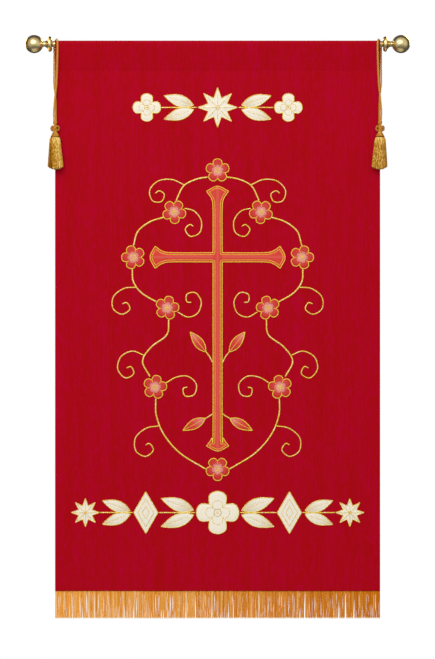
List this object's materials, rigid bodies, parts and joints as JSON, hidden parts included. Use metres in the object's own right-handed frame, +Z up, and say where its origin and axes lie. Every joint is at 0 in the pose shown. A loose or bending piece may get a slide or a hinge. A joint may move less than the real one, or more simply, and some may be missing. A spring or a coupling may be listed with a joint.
{
  "type": "church banner with hanging rod",
  "caption": "Flat satin banner hung by a sewn pocket from a brass rod with ball finials, with cut satin motifs on its front, a tasselled cord at each end and fringe along its foot.",
  "frame": {"origin": "on the rod's axis, halfway along it, where the rod is held up", "axes": "+Z up, the banner hangs down along -Z; +X along the rod, to the right seen from the front; the front faces -Y"},
  "size_m": [1.083, 0.0559, 1.6416],
  "materials": {
    "red_satin": "ribbed satin with faint upright water marks",
    "cream_satin": "smooth satin",
    "coral_satin": "smooth satin",
    "gold_yarn": "glossy rayon yarn",
    "brass": "polished, a little aged"
  },
  "bodies": {
    "root": {"banner_panel": "red_satin", "rod": "brass", "finial_left": "brass", "finial_right": "brass", "fringe": "gold_yarn", "tassel_cord_left": "gold_yarn", "tassel_cord_right": "gold_yarn", "tassel_knot_left": "gold_yarn", "tassel_knot_right": "gold_yarn", "tassel_left": "gold_yarn", "tassel_right": "gold_yarn", "star_top": "cream_satin", "leaf_top_upper_left": "cream_satin", "leaf_top_upper_right": "cream_satin", "leaf_top_lower_left": "cream_satin", "leaf_top_lower_right": "cream_satin", "quatrefoil_top_left": "cream_satin", "quatrefoil_top_right": "cream_satin", "cross": "coral_satin", "blossom_crown": "coral_satin", "blossom_arm_left": "coral_satin", "blossom_arm_right": "coral_satin", "blossom_upper_left": "coral_satin", "blossom_upper_right": "coral_satin", "blossom_lower_left": "coral_satin", "blossom_lower_right": "coral_satin", "blossom_stem_left": "coral_satin", "blossom_stem_right": "coral_satin", "blossom_foot": "coral_satin", "leaf_stem_upper_left": "coral_satin", "leaf_stem_upper_right": "coral_satin", "leaf_stem_lower_left": "coral_satin", "leaf_stem_lower_right": "coral_satin", "quatrefoil_foot": "cream_satin", "leaf_inner_upper_left": "cream_satin", "leaf_inner_upper_right": "cream_satin", "leaf_inner_lower_left": "cream_satin", "leaf_inner_lower_right": "cream_satin", "lozenge_foot_left": "cream_satin", "lozenge_foot_right": "cream_satin", "leaf_outer_upper_left": "cream_satin", "leaf_outer_upper_right": "cream_satin", "leaf_outer_lower_left": "cream_satin", "leaf_outer_lower_right": "cream_satin", "star_foot_left": "cream_satin", "star_foot_right": "cream_satin"}
  },
  "joints": []
}
